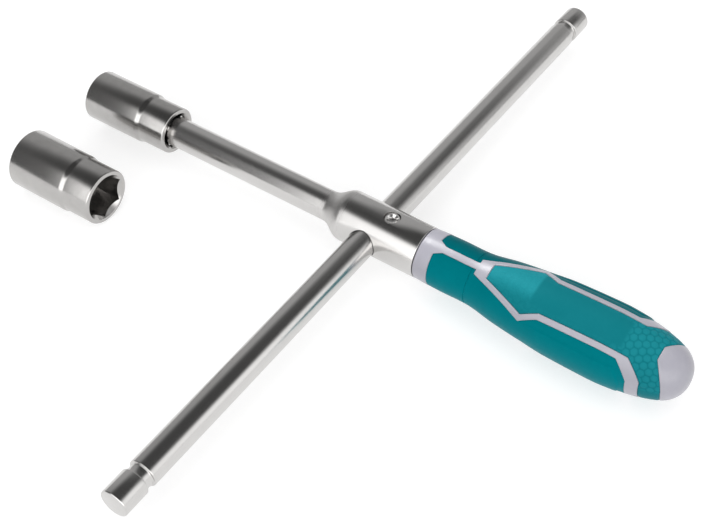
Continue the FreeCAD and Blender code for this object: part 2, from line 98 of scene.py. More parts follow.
# %% Spin an outline about its axis
TURN_STEPS = 144
ROUND_STEPS = 4
WELD = 1e-6


def spun_mesh(outline, steps=TURN_STEPS):
    """A closed bmesh from (along, radius, rounding) points, spun about the X axis."""
    bm = bmesh.new()
    verts = [bm.verts.new((along, 0.0, radius)) for along, radius, _ in outline]
    for a, b in zip(verts, verts[1:]):
        bm.edges.new((a, b))
    for vert, (_, _, rounding) in zip(verts, outline):
        if rounding:
            bmesh.ops.bevel(bm, geom=[vert], offset=rounding, segments=ROUND_STEPS, profile=0.5,
                            affect="VERTICES", material=-1)
    bmesh.ops.spin(bm, geom=bm.verts[:] + bm.edges[:], cent=(0, 0, 0), axis=(1, 0, 0),
                   angle=math.tau, steps=steps, use_merge=True)
    bmesh.ops.remove_doubles(bm, verts=bm.verts, dist=WELD)
    bmesh.ops.recalc_face_normals(bm, faces=bm.faces)
    return bm


def finish_piece(name, bm, sharp_angle=35):
    """Turns a bmesh into an object with smooth faces and crisp corners."""
    mesh = bpy.data.meshes.new(name)
    bm.to_mesh(mesh)
    bm.free()
    mesh.polygons.foreach_set("use_smooth", [True] * len(mesh.polygons))
    mesh.set_sharp_from_angle(angle=math.radians(sharp_angle))
    piece = bpy.data.objects.new(name, mesh)
    bpy.context.scene.collection.objects.link(piece)
    print(name, len(mesh.polygons), "faces")
    return piece


def joined_shape(name, base, others, operation):
    """The base bmesh with the other bmeshes cut away or added, by exact booleans."""
    body = finish_piece(name, base)
    tools = [finish_piece(name + "_tool", other) for other in others]
    for tool in tools:
        step = body.modifiers.new("step", "BOOLEAN")
        step.object = tool
        step.operation = operation
        step.solver = "EXACT"
    shape = bmesh.new()
    shape.from_object(body, bpy.context.evaluated_depsgraph_get())
    for leftover in [body] + tools:
        mesh = leftover.data
        bpy.data.objects.remove(leftover)
        bpy.data.meshes.remove(mesh)
    return shape


# %% [markdown]
# ## The cross bar
# The bar is bright round rod with both ends rounded off. A groove near each end lets the spring
# ball in the head drop in and stop the bar before it slides out. It could be three cylinders
# set end to end, but one outline spun whole has no seam at the grooves.

# %% Spin the bar and lay it along Y
GROOVE_FROM_END = 14.2 * MM
GROOVE_WIDTH = 4.4 * MM
GROOVE_DEPTH = 1.2 * MM
GROOVE_LIP = 0.5 * MM
GROOVE_ROUND = 0.45 * MM
BAR_END_ROUND = 0.75 * MM

groove_far = bar_half - GROOVE_FROM_END
groove_near = groove_far - GROOVE_WIDTH
half_bar = [
    (bar_half, 0.0, 0),
    (bar_half, bar_radius, BAR_END_ROUND),
    (groove_far, bar_radius, GROOVE_LIP),
    (groove_far, bar_radius - GROOVE_DEPTH, GROOVE_ROUND),
    (groove_near, bar_radius - GROOVE_DEPTH, GROOVE_ROUND),
    (groove_near, bar_radius, GROOVE_LIP),
]
other_half = [(-along, radius, rounding) for along, radius, rounding in reversed(half_bar)]
bar_mesh = spun_mesh(half_bar + other_half)
bmesh.ops.rotate(bar_mesh, verts=bar_mesh.verts, cent=(0, 0, 0), matrix=Matrix.Rotation(math.pi / 2, 3, "Z"))
bmesh.ops.translate(bar_mesh, verts=bar_mesh.verts, vec=bar_middle)
bar = finish_piece("sliding_bar", bar_mesh)
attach(bar, "bar")
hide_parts("cross_bar")

# %% [markdown]
# ## Shaft, head and drive
# These are one forging. The shaft swells through an S-shaped flare into the round head, the
# drive end drops to a square, and a tang runs on inside the handle. The outline is spun, the
# square and the tang are added, and the holes for the bar, the screw and the ball are cut out.

# %% Outline of shaft and head
SHAFT_RADIUS = 8.0 * MM
NOSE_FILLET = 2.6 * MM
HEAD_FRONT = 15.6 * MM
FLARE_LENGTH = 12.2 * MM
FLARE_POINTS = 32
HEAD_GAP = 0.4 * MM
HEAD_END_ROUND = 0.55 * MM

flare_end = reach - HEAD_FRONT
flare_start = flare_end - FLARE_LENGTH
head_end = handle_start - HEAD_GAP


def flare_point(share):
    """A point of the S-shaped swell from shaft to head."""
    swell = (1 - math.cos(math.pi * share)) / 2
    return (flare_start + share * FLARE_LENGTH, SHAFT_RADIUS + swell * (head_radius - SHAFT_RADIUS), 0)


shaft_outline = [(shaft_start, 0.0, 0), (shaft_start, SHAFT_RADIUS, NOSE_FILLET)]
shaft_outline += [flare_point(k / FLARE_POINTS) for k in range(FLARE_POINTS + 1)]
shaft_outline += [(head_end, head_radius, HEAD_END_ROUND), (head_end, 0.0, 0)]
shaft_mesh = spun_mesh(shaft_outline)

# %% The square drive and the tang
DRIVE_SIDE = 12.7 * MM
DRIVE_TIP = 21.0 * MM
DRIVE_CORNER = 1.25 * MM
TIP_EDGE = 0.7 * MM
TANG_RADIUS = 7.0 * MM
TANG_LENGTH = 104.0 * MM
TANG_ROUND = 1.0 * MM
TANG_STEPS = 48
JOIN_OVERLAP = 1.0 * MM
DRIVE_RUN_IN = 1.5 * MM


def box_mesh(low, high):
    """A box between two corners."""
    bm = bmesh.new()
    bmesh.ops.create_cube(bm, size=1.0)
    low, high = Vector(low), Vector(high)
    bmesh.ops.scale(bm, verts=bm.verts, vec=high - low)
    bmesh.ops.translate(bm, verts=bm.verts, vec=(low + high) / 2)
    return bm


drive_mesh = box_mesh((DRIVE_TIP, -DRIVE_SIDE / 2, -DRIVE_SIDE / 2),
                      (shaft_start + DRIVE_RUN_IN, DRIVE_SIDE / 2, DRIVE_SIDE / 2))
long_edges = [e for e in drive_mesh.edges if abs(e.verts[0].co.x - e.verts[1].co.x) > MM]
bmesh.ops.bevel(drive_mesh, geom=long_edges, offset=DRIVE_CORNER, segments=3, profile=0.5,
                affect="EDGES", material=-1)
tip_edges = [e for e in drive_mesh.edges if all(v.co.x < DRIVE_TIP + WELD for v in e.verts)]
bmesh.ops.bevel(drive_mesh, geom=tip_edges, offset=TIP_EDGE, segments=2, profile=0.5,
                affect="EDGES", material=-1)
tang_mesh = spun_mesh([(head_end - JOIN_OVERLAP, 0.0, 0), (head_end - JOIN_OVERLAP, TANG_RADIUS, 0),
                       (handle_start + TANG_LENGTH, TANG_RADIUS, TANG_ROUND),
                       (handle_start + TANG_LENGTH, 0.0, 0)], steps=TANG_STEPS)
shaft_mesh = joined_shape("forging", shaft_mesh, [drive_mesh, tang_mesh], "UNION")

# %% Cut the bar's hole, the screw's hole and the ball's well
BAR_FIT = 0.26 * MM
BORE_STEPS = 128
SCREW_RADIUS = 4.0 * MM
DETENT_HOLE_RADIUS = 2.6 * MM
DETENT_HOLE_FLOOR = -2.0 * MM
DRIVE_WELL_RADIUS = 2.5 * MM
DRIVE_WELL_FLOOR = -3.2 * MM
WELL_TOP = 10.0 * MM
WELL_STEPS = 48
ball_middle = middle_of("drive_ball")
screw_middle = middle_of("detent_screw")


def rod_mesh(radius, start, end, steps=96):
    """A plain round cutter between two points."""
    start, end = Vector(start), Vector(end)
    bm = bmesh.new()
    turn = Vector((0, 0, 1)).rotation_difference(end - start).to_matrix().to_4x4()
    place = Matrix.Translation((start + end) / 2) @ turn
    bmesh.ops.create_cone(bm, cap_ends=True, segments=steps, radius1=radius, radius2=radius,
                          depth=(end - start).length, matrix=place)
    return bm


wide = 2 * head_radius
bore = rod_mesh(bar_radius + BAR_FIT, (reach, -wide, 0), (reach, wide, 0), steps=BORE_STEPS)
screw_hole = rod_mesh(SCREW_RADIUS + BAR_FIT, (screw_middle.x, 0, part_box("detent_screw")[0][2]),
                      (screw_middle.x, 0, wide))
ball_hole = rod_mesh(DETENT_HOLE_RADIUS, (screw_middle.x, 0, DETENT_HOLE_FLOOR),
                     (screw_middle.x, 0, WELL_TOP))
ball_well = rod_mesh(DRIVE_WELL_RADIUS, (ball_middle.x, 0, DRIVE_WELL_FLOOR), (ball_middle.x, 0, WELL_TOP),
                     steps=WELL_STEPS)
shaft_mesh = joined_shape("forging", shaft_mesh, [bore, screw_hole, ball_hole, ball_well], "DIFFERENCE")

# %% [markdown]
# ### Eased hole rims
# A drilled hole is always deburred, so its rim is a narrow bright band, not a knife edge. The
# rim edges are the sharp ones on the head's own radius, and a bevel breaks them.

# %% Break the rims of the holes
RIM_EASE = 0.5 * MM
RIM_ANGLE = math.radians(25)
RIM_TOLERANCE = 0.05 * MM
RIM_WELD = 0.01 * MM


def sharp_rim(edge):
    """True for a sharp edge that lies on the head's round surface, away from its ends."""
    if len(edge.link_faces) != 2 or edge.calc_face_angle(0) < RIM_ANGLE:
        return False
    for vert in edge.verts:
        out = math.hypot(vert.co.y, vert.co.z)
        if abs(out - head_radius) > RIM_TOLERANCE or not flare_end < vert.co.x < head_end - JOIN_OVERLAP:
            return False
    return True


bmesh.ops.remove_doubles(shaft_mesh, verts=shaft_mesh.verts, dist=RIM_WELD)
rims = [edge for edge in shaft_mesh.edges if sharp_rim(edge)]
bmesh.ops.bevel(shaft_mesh, geom=rims, offset=RIM_EASE, segments=3, profile=0.5,
                affect="EDGES", material=-1, clamp_overlap=True)
shaft = finish_piece("shaft_and_head", shaft_mesh)
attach(shaft, "wrench")
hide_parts("shaft_forging")
print("rim edges eased:", len(rims))

# %% [markdown]
# ## The two sockets
# A double-ended socket is one turned sleeve with a hexagon broached in each end and a square
# hole in the web between them. Each wall of that hole has a round catch for the drive's spring
# ball. A lead-in cone at each mouth cuts the flats in shallow scallops, so the cone is cut
# together with the hexagon.

# %% Make a socket from its sizes
WEB_START = 20.5 * MM
SMALL_DEPTH = 17.5 * MM
STEP_START = 34.7 * MM
STEP_END = 36.5 * MM
RIM_ROUND = 0.85 * MM
LEAD_IN = 0.4 * MM
SQUARE_HOLE = 12.86 * MM
CATCH_RADIUS = 2.9 * MM
CATCH_DEPTH = 1.2 * MM
STEP_ROUND = 0.5 * MM
OVERCUT = 1.0 * MM
LEAD_UNDERCUT = 0.2 * MM
LEAD_STEPS = 96


def hex_cutter(across_flats, start_x, end_x):
    """A hexagonal cutter along X with corners up and down."""
    bm = bmesh.new()
    place = Matrix.Translation(((start_x + end_x) / 2, 0, 0)) @ Matrix.Rotation(math.pi / 2, 4, "Y")
    corner = across_flats / math.sqrt(3)
    bmesh.ops.create_cone(bm, cap_ends=True, segments=6, radius1=corner, radius2=corner,
                          depth=end_x - start_x, matrix=place)
    return bm


def lead_cutter(across_flats, mouth_x, inward):
    """The cone that opens a mouth; inward is +1 or -1 along X."""
    wide_end = across_flats / math.sqrt(3) + LEAD_IN + OVERCUT
    narrow_end = across_flats / 2 - LEAD_UNDERCUT
    depth = wide_end - narrow_end
    middle_x = mouth_x + inward * (depth / 2 - OVERCUT)
    bm = bmesh.new()
    turn = Matrix.Rotation(math.pi / 2 if inward > 0 else -math.pi / 2, 4, "Y")
    bmesh.ops.create_cone(bm, cap_ends=True, segments=LEAD_STEPS, radius1=wide_end, radius2=narrow_end,
                          depth=depth, matrix=Matrix.Translation((middle_x, 0, 0)) @ turn)
    return bm


def socket_mesh(large_hex, small_hex, large_od, small_od):
    """A double-ended socket on the X axis with its larger mouth at x = 0."""
    outline = [
        (0.0, 0.0, 0),
        (0.0, large_od / 2, RIM_ROUND),
        (STEP_START, large_od / 2, STEP_ROUND),
        (STEP_END, small_od / 2, STEP_ROUND),
        (socket_length, small_od / 2, RIM_ROUND),
        (socket_length, 0.0, 0),
    ]
    square = box_mesh((WEB_START - OVERCUT, -SQUARE_HOLE / 2, -SQUARE_HOLE / 2),
                      (socket_length - SMALL_DEPTH + OVERCUT, SQUARE_HOLE / 2, SQUARE_HOLE / 2))
    catch_x = (WEB_START + socket_length - SMALL_DEPTH) / 2
    catch_end = SQUARE_HOLE / 2 + CATCH_DEPTH
    cuts = [
        rod_mesh(CATCH_RADIUS, (catch_x, 0, -catch_end), (catch_x, 0, catch_end), steps=WELL_STEPS),
        rod_mesh(CATCH_RADIUS, (catch_x, -catch_end, 0), (catch_x, catch_end, 0), steps=WELL_STEPS),
        hex_cutter(large_hex, -OVERCUT, WEB_START),
        hex_cutter(small_hex, socket_length - SMALL_DEPTH, socket_length + OVERCUT),
        lead_cutter(large_hex, 0.0, 1),
        lead_cutter(small_hex, socket_length, -1),
        square,
    ]
    return joined_shape("socket", spun_mesh(outline), cuts, "DIFFERENCE")


# %% The socket on the drive
fitted_mesh = socket_mesh(large_hex=19 * MM, small_hex=17 * MM, large_od=27.0 * MM, small_od=25.2 * MM)
fitted = finish_piece("fitted_socket_17_19", fitted_mesh)
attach(fitted, "fitted_socket")
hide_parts("socket_17_19")

# %% The socket beside the wrench
SPARE_ROLL = math.radians(16.5)
spare_mesh = socket_mesh(large_hex=23 * MM, small_hex=21 * MM, large_od=31.2 * MM, small_od=29.6 * MM)
spare_turn = Matrix.Rotation(SPARE_ROLL, 3, "X")
bmesh.ops.rotate(spare_mesh, verts=spare_mesh.verts, cent=(0, 0, 0), matrix=spare_turn)
bmesh.ops.translate(spare_mesh, verts=spare_mesh.verts, vec=(0, spare_middle.y, spare_middle.z))
spare = finish_piece("spare_socket_21_23", spare_mesh)
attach(spare, "spare_socket")
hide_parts("socket_21_23")

# %% [markdown]
# ## The set screw
# A short hexagon-socket screw closes the hole over the detent's spring. It sits a little below
# the surface, so mostly its rim and the bright walls of its key hole are seen.

# %% Make the set screw
KEY_SIZE = 4.0 * MM
KEY_FLOOR_SHARE = 0.55
DRILL_RADIUS = 2.1 * MM
DRILL_DEPTH = 1.2 * MM
DRILL_BELOW = 0.55 * MM
KEY_LEAD_NARROW = 1.6 * MM
KEY_LEAD_WIDE = 3.6 * MM
KEY_LEAD_DEPTH = 2.0 * MM
KEY_LEAD_BELOW = 0.4 * MM
SCREW_STEPS = 64
CONE_STEPS = 48

screw_low, screw_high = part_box("detent_screw")
screw_length = screw_high[2] - screw_low[2]
key_floor = screw_length * KEY_FLOOR_SHARE
screw_mesh = spun_mesh([(0.0, 0.0, 0), (0.0, SCREW_RADIUS, 0.3 * MM), (screw_length, SCREW_RADIUS, 0.45 * MM),
                        (screw_length, 0.0, 0)], steps=SCREW_STEPS)
key_hole = hex_cutter(KEY_SIZE, key_floor, screw_length + OVERCUT)
drill_point = bmesh.new()
bmesh.ops.create_cone(drill_point, cap_ends=True, segments=CONE_STEPS, radius1=DRILL_RADIUS, radius2=0.0,
                      depth=DRILL_DEPTH, matrix=Matrix.Translation((key_floor - DRILL_BELOW, 0, 0))
                      @ Matrix.Rotation(-math.pi / 2, 4, "Y"))
key_lead = bmesh.new()
bmesh.ops.create_cone(key_lead, cap_ends=True, segments=CONE_STEPS, radius1=KEY_LEAD_NARROW,
                      radius2=KEY_LEAD_WIDE, depth=KEY_LEAD_DEPTH,
                      matrix=Matrix.Translation((screw_length - KEY_LEAD_BELOW, 0, 0))
                      @ Matrix.Rotation(math.pi / 2, 4, "Y"))
screw_mesh = joined_shape("screw", screw_mesh, [key_hole, drill_point, key_lead], "DIFFERENCE")
upright = Matrix.Rotation(-math.pi / 2, 3, "Y")
bmesh.ops.rotate(screw_mesh, verts=screw_mesh.verts, cent=(0, 0, 0), matrix=upright)
bmesh.ops.translate(screw_mesh, verts=screw_mesh.verts, vec=(screw_middle.x, 0, screw_low[2]))
screw = finish_piece("set_screw", screw_mesh)
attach(screw, "wrench")
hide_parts("detent_screw")

# %% [markdown]
# ## The handle's shape
# The handle is a round body that swells to a belly and closes in a dome. A hard grey plastic
# core shows as a frame on its surface, and soft grips are moulded into the fields between. All
# of them share one skin, so that skin is spun once, finely, and divided along the outlines.

# %% The handle's side profile
NECK_RADIUS = 13.6 * MM
NECK_END = 30.8 * MM
TAIL_RADIUS = 13.9 * MM
DOME_LENGTH = 9.6 * MM
DOME_SLOPE = math.radians(22)
DOME_FULLNESS = 0.6
DOME_POINTS = 44
COLLAR_RADIUS = 13.2 * MM
SKIN_STEP = 0.4 * MM

tail_x = handle_length - DOME_LENGTH
swell = belly_radius - NECK_RADIUS
stations = [
    (0.0, COLLAR_RADIUS),
    (NECK_END / 2, NECK_RADIUS),
    (NECK_END, NECK_RADIUS + 0.01 * swell),
    (44.8 * MM, NECK_RADIUS + 0.42 * swell),
    (59.3 * MM, NECK_RADIUS + 0.72 * swell),
    (73.8 * MM, NECK_RADIUS + 0.90 * swell),
    (94.8 * MM, belly_radius),
    (tail_x - 26.5 * MM, NECK_RADIUS + 0.97 * swell),
    (tail_x - 12 * MM, TAIL_RADIUS + 0.63 * (belly_radius - TAIL_RADIUS)),
    (tail_x, TAIL_RADIUS),
]


def station_slope(index):
    """The profile's slope at a station, from its neighbours."""
    before = stations[max(index - 1, 0)]
    after = stations[min(index + 1, len(stations) - 1)]
    return (after[1] - before[1]) / (after[0] - before[0])


def side_points():
    """Smooth (x, radius) points through all stations."""
    points = []
    for k, (near, far) in enumerate(zip(stations, stations[1:])):
        span = (far[0] - near[0]) / 3
        slope_a = station_slope(k)
        slope_b = station_slope(k + 1) if k + 2 < len(stations) else -math.tan(DOME_SLOPE)
        handle_a = (near[0] + span, near[1] + span * slope_a)
        handle_b = (far[0] - span, far[1] - span * slope_b)
        count = max(2, round((far[0] - near[0]) / SKIN_STEP)) + 1
        curve = interpolate_bezier(near, handle_a, handle_b, far, count)
        points += [tuple(p) for p in curve[:-1]]
    return points


def dome_points():
    """The tail's rounded end, from the side to the axis."""
    pull = DOME_LENGTH / 2
    lead = (tail_x + pull * math.cos(DOME_SLOPE), TAIL_RADIUS - pull * math.sin(DOME_SLOPE))
    curve = interpolate_bezier((tail_x, TAIL_RADIUS), lead, (handle_length, DOME_FULLNESS * TAIL_RADIUS),
                               (handle_length, 0.0), DOME_POINTS)
    return [tuple(p) for p in curve]


profile = side_points() + dome_points()
print("profile points:", len(profile), "widest radius:", round(max(r for _, r in profile), 5))

# %% Spin the skin
SKIN_TURN = 300

skin = bmesh.new()
ring = [skin.verts.new((x, 0.0, radius)) for x, radius in profile]
for a, b in zip(ring, ring[1:]):
    skin.edges.new((a, b))
bmesh.ops.spin(skin, geom=skin.verts[:] + skin.edges[:], cent=(0, 0, 0), axis=(1, 0, 0),
               angle=math.tau, steps=SKIN_TURN, use_merge=True)
bmesh.ops.remove_doubles(skin, verts=skin.verts, dist=WELD)
bmesh.ops.recalc_face_normals(skin, faces=skin.faces)
if sum(face.normal.dot(Vector((0, *face.calc_center_median().yz))) for face in skin.faces) < 0:
    bmesh.ops.reverse_faces(skin, faces=skin.faces)
print("skin faces:", len(skin.faces))

# %% [markdown]
# ## Outlines on the handle
# Looking square on to the palm face, the frame is straight lines: a window that opens from a
# point, two stripes along the belly and a band that runs out to the sides. The same lines show
# on the opposite face, because they cut straight through. Each soft field is a closed outline.

# %% The outlines of the soft fields and the cap
OUT = 30.0


def both_sides(points):
    """A closed outline from its +Y half, given from front to back."""
    return points + [(x, -y) for x, y in reversed(points)]


def in_metres(points):
    """The same outline in metres."""
    return [(x * MM, y * MM) for x, y in points]


cap_line = [(136.0, OUT), (131.6, 12.6), (125.4, 3.6)]
palm_line = in_metres(both_sides([(37.5, 4.1), (60.0, 12.3), (68.6, 9.1), (113.8, 9.1), (122.0, 14.6),
                                  (123.0, OUT)] + cap_line))
cap_outline = in_metres(both_sides([(141.0, OUT)] + cap_line))
right_line = in_metres([(8.0, OUT), (8.0, 4.0), (12.0, 1.9), (30.8, 1.9), (30.8, 4.3), (60.0, 14.6),
                        (68.6, 11.6), (109.0, 11.6), (116.0, 16.3), (117.0, OUT)])
left_line = [(x, -y) for x, y in right_line]


def inside(outline, x, y):
    """True where a point lies inside a closed outline."""
    hit = False
    for (x1, y1), (x2, y2) in zip(outline, outline[1:] + outline[:1]):
        if (y1 > y) != (y2 > y) and x < x1 + (y - y1) * (x2 - x1) / (y2 - y1):
            hit = not hit
    return hit


# %% [markdown]
# ### Cutting the skin
# A plane through each straight line cuts the skin exactly there, and a few planes beside it give
# the rows of points that its rounded edge needs. Only the faces near a line are cut.

# %% Cut along every outline
EDGE_ROWS = (0.0, 0.1, 0.22, 0.4, 0.6)
SEAM_X = 29.0 * MM
SEAM_ROWS = (-0.3, -0.15, 0.15, 0.3)
NEAR = 1.6 * MM
ON_SKIN = 29.0 * MM
CUT_MERGE = 0.5e-6


def cut_rows(start, end, offsets):
    """Cuts the skin by upright planes along a line and beside it."""
    start, end = Vector((*start, 0)), Vector((*end, 0))
    along = (end - start).normalized()
    across = Vector((-along.y, along.x, 0))
    length = (end - start).length
    low_x = min(start.x, end.x) - 2 * NEAR
    high_x = max(start.x, end.x) + 2 * NEAR
    local = []
    for face in skin.faces:
        if not low_x < face.verts[0].co.x < high_x:
            continue
        offset = face.calc_center_median() - start
        if abs(offset.dot(across)) < NEAR and -NEAR < offset.dot(along) < length + NEAR:
            local.append(face)
    geometry = set(local)
    for face in local:
        geometry.update(face.edges)
        geometry.update(face.verts)
    geometry = list(geometry)
    for offset in offsets:
        cut = bmesh.ops.bisect_plane(skin, geom=geometry, dist=CUT_MERGE, plane_co=start + across * offset,
                                     plane_no=across)
        geometry = cut["geom"]


rows = [side * row * MM for row in EDGE_ROWS for side in ((1, -1) if row else (1,))]
lines = set()
for outline in (palm_line, right_line, left_line):
    for a, b in zip(outline, outline[1:] + outline[:1]):
        if abs(a[1]) < ON_SKIN or abs(b[1]) < ON_SKIN:
            lines.add((a, b))
for a, b in sorted(lines):
    cut_rows(a, b, rows)
for seam_offset in SEAM_ROWS:
    at = SEAM_X + seam_offset * MM
    cut_rows((at, -belly_radius), (at, belly_radius), (0.0,))
print("lines cut:", len(lines), "faces now:", len(skin.faces))

# %% Sort the faces into fields
FIELDS = {"palm": palm_line, "right": right_line, "left": left_line, "cap": cap_outline}


def field_of(face):
    """The field that a face belongs to."""
    centre = face.calc_center_median()
    for field, outline in FIELDS.items():
        if inside(outline, centre.x, centre.y):
            return field
    return "frame"


fields = [field_of(face) for face in skin.faces]
print({field: fields.count(field) for field in list(FIELDS) + ["frame"]})


def field_mesh(field):
    """A copy of the skin with only one field's faces."""
    bm = skin.copy()
    others = [face for face, name in zip(bm.faces, fields) if name != field]
    bmesh.ops.delete(bm, geom=others, context="FACES")
    return bm


# %% [markdown]
# ### Rounded edges and wall
# Where two mouldings meet, each has a rounded edge, and the two make a fine dark groove. Points
# near a field's border sink along a quarter circle, by their distance to it. Then the field
# gets its wall, inwards from the surface.

# %% Round a field's border and give it a wall
WALL = 1.9 * MM
BORDER_STEP = 0.1 * MM
FIELD_WELD = 0.004 * MM
HANDLE_CLOCKING = math.radians(16.5)


def border_tree(bm):
    """Points along the field's open border, ready for distance questions."""
    points = []
    for edge in bm.edges:
        if len(edge.link_faces) == 1:
            a, b = edge.verts[0].co, edge.verts[1].co
            count = max(1, round((b - a).length / BORDER_STEP))
            points += [a.lerp(b, k / count) for k in range(count)]
    tree = KDTree(len(points))
    for index, point in enumerate(points):
        tree.insert(point, index)
    tree.balance()
    return tree


def shape_field(bm, relief, edge_width, edge_depth):
    """Sinks the border, adds the relief along the normals, then adds the wall."""
    bmesh.ops.remove_doubles(bm, verts=bm.verts, dist=FIELD_WELD)
    bm.normal_update()
    tree = border_tree(bm)
    outward = [vert.normal.copy() for vert in bm.verts]
    for vert, normal in zip(bm.verts, outward):
        distance = tree.find(vert.co)[2]
        share = max(1 - distance / edge_width, 0.0)
        drop = edge_depth * (1 - math.sqrt(1 - share * share))
        vert.co += normal * (relief(vert.co, distance) - drop)
    direction_layer = bm.verts.layers.float_vector.new("outward")
    for vert, normal in zip(bm.verts, outward):
        vert[direction_layer] = normal
    inner = bmesh.ops.extrude_face_region(bm, geom=bm.faces[:], use_keep_orig=True)["geom"]
    for item in inner:
        if isinstance(item, bmesh.types.BMVert):
            item.co -= item[direction_layer] * WALL
    bm.verts.layers.float_vector.remove(direction_layer)
    bmesh.ops.recalc_face_normals(bm, faces=bm.faces)
    return bm


def set_on_shaft(bm):
    """Puts a handle piece behind the head, turned to the handle's clocking."""
    bmesh.ops.translate(bm, verts=bm.verts, vec=(handle_start, 0, 0))
    bmesh.ops.rotate(bm, verts=bm.verts, cent=(0, 0, 0), matrix=Matrix.Rotation(HANDLE_CLOCKING, 3, "X"))


def smooth_between(value, low, high):
    """0 below low, 1 above high and a soft S between."""
    share = min(max((value - low) / (high - low), 0.0), 1.0)
    return share * share * (3 - 2 * share)


# %% [markdown]
# ## Soft palm grip
# The palm grip is soft rubber with a moulded honeycomb that stops the hand slipping, bold round
# the tail and faint near the front, where a fine pebbled grain lies over it. The middle stays
# smooth. The cells are real relief: each point rises by how far it is inside its hexagon. The
# grain catches more light than the smooth middle, and that light is painted into the colour: each
# point keeps a tone with painted highlight on the pebbled front and the tail's cells, and painted
# shade in the grooves between cells.

# %% Honeycomb relief
CELLS_ROUND = 28
CELL_MAP_RADIUS = 16.0 * MM
CELL_HEIGHT = 0.2 * MM
CELL_GROOVE = 0.46 * MM
PALM_RECESS = 0.1 * MM
PEBBLE_SIZE = 0.75 * MM
PEBBLE_DEPTH = 0.09 * MM
# Tones of painted light: painted highlight on the pebbled front, lighter toward one side, and on the tail's
# cells, and painted shade in the grooves.
SMOOTH_TONE = 0.37
FRONT_PAINTED_HIGHLIGHT = 0.63
TAIL_PAINTED_HIGHLIGHT = 0.30
GRAIN_TONE = 0.12
FAINT = 0.2
MIDDLE_START = (61 * MM, 63 * MM)
MIDDLE_END = (110 * MM, 108 * MM)
MIDDLE_SIDE = (7.4 * MM, 6.2 * MM)
BOLD_FROM = (100 * MM, 112 * MM)
SIDE_STOP = (math.radians(80), math.radians(70))
PLAIN_MARGIN = (0.9 * MM, 1.6 * MM)
PAINTED_HIGHLIGHT_ACROSS = (-9 * MM, 1 * MM)

cell_pitch = math.tau * CELL_MAP_RADIUS / CELLS_ROUND
cell_row = cell_pitch * math.sqrt(3)
print("honeycomb pitch, mm:", round(cell_pitch / MM, 2))


def cell_distance(x, arc):
    """How far a point is from its cell's middle, rounded-hexagon style."""
    best = cell_pitch
    for shift_x, shift_arc in ((0.0, 0.0), (cell_row / 2, cell_pitch / 2)):
        dx = (x - shift_x + cell_row / 2) % cell_row - cell_row / 2
        da = (arc - shift_arc + cell_pitch / 2) % cell_pitch - cell_pitch / 2
        hexagon = max(abs(da), abs(0.866 * dx + 0.5 * da), abs(0.866 * dx - 0.5 * da))
        best = min(best, 0.55 * hexagon + 0.45 * math.hypot(dx, da))
    return best


def cell_top(co):
    """1 on a cell's top, 0 in the groove between two cells."""
    arc = math.atan2(co.y, co.z) * CELL_MAP_RADIUS
    return smooth_between(cell_distance(co.x, arc), cell_pitch / 2, cell_pitch / 2 - CELL_GROOVE)


def palm_strength(co):
    """How bold the honeycomb is at a point: 0 in the smooth middle, 1 round the tail."""
    from_ends = smooth_between(co.x, *MIDDLE_END) * smooth_between(co.x, *MIDDLE_START)
    from_sides = smooth_between(abs(co.y), *MIDDLE_SIDE)
    bold = FAINT + (1 - FAINT) * smooth_between(co.x, *BOLD_FROM)
    side_stop = smooth_between(abs(math.atan2(co.y, abs(co.z))), *SIDE_STOP)
    return bold * (1 - from_ends * from_sides) * side_stop


def front_share(co):
    """1 on the pebbled front, 0 from the smooth middle on."""
    return smooth_between(co.x, *reversed(MIDDLE_START))


def palm_relief(co, distance):
    """The palm grip's height over the handle's plain surface."""
    margin = smooth_between(distance, *PLAIN_MARGIN)
    pebble = PEBBLE_DEPTH * front_share(co) * margin * bumps.noise(co / PEBBLE_SIZE)
    return (cell_top(co) - 1) * CELL_HEIGHT * palm_strength(co) * margin + pebble - PALM_RECESS


def painted_light_tone(co):
    """The colour's place between painted groove shade (0) and painted highlight on the grain (1)."""
    strength = palm_strength(co)
    light = max(FRONT_PAINTED_HIGHLIGHT * front_share(co) * smooth_between(co.y, *PAINTED_HIGHLIGHT_ACROSS), TAIL_PAINTED_HIGHLIGHT * strength)
    grain = GRAIN_TONE * front_share(co) * bumps.noise(co / PEBBLE_SIZE)
    return SMOOTH_TONE + light + grain + (cell_top(co) - 1) * SMOOTH_TONE * strength


# Painted light kept per point: painted highlight on the front and the tail's cells, painted shade in the
# grooves.
palm_skin = field_mesh("palm")
painted_light_layer = palm_skin.verts.layers.float.new("painted_light_tone")
for vert in palm_skin.verts:
    vert[painted_light_layer] = painted_light_tone(vert.co)
palm_mesh = shape_field(palm_skin, palm_relief, edge_width=1.0 * MM, edge_depth=0.46 * MM)
set_on_shaft(palm_mesh)
palm = finish_piece("palm_grip_soft", palm_mesh, 50)
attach(palm, "wrench")
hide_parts("palm_grip")

# %% [markdown]
# ## Soft side grips
# Each side has a soft pad from the collar to the band. A fine seam rings it where the neck
# ends, and a raised panel with a crisp edge gives the fingers something to hold.

# %% Side grips with seam and raised panel
SEAM_DEPTH = 0.34 * MM
PANEL_RAISE = 0.42 * MM
PANEL_EDGE = math.radians(53)
PANEL_EDGE_EASE = math.radians(0.9)
SEAM_WALLS = (0.26 * MM, 0.1 * MM)
PANEL_START = (60 * MM, 74 * MM)
PANEL_END = 104.4 * MM
PANEL_END_SLANT = 7 * MM
PANEL_END_INNER = 11.6 * MM
PANEL_END_WIDTH = 4.7 * MM
PANEL_END_EASE = 0.8 * MM


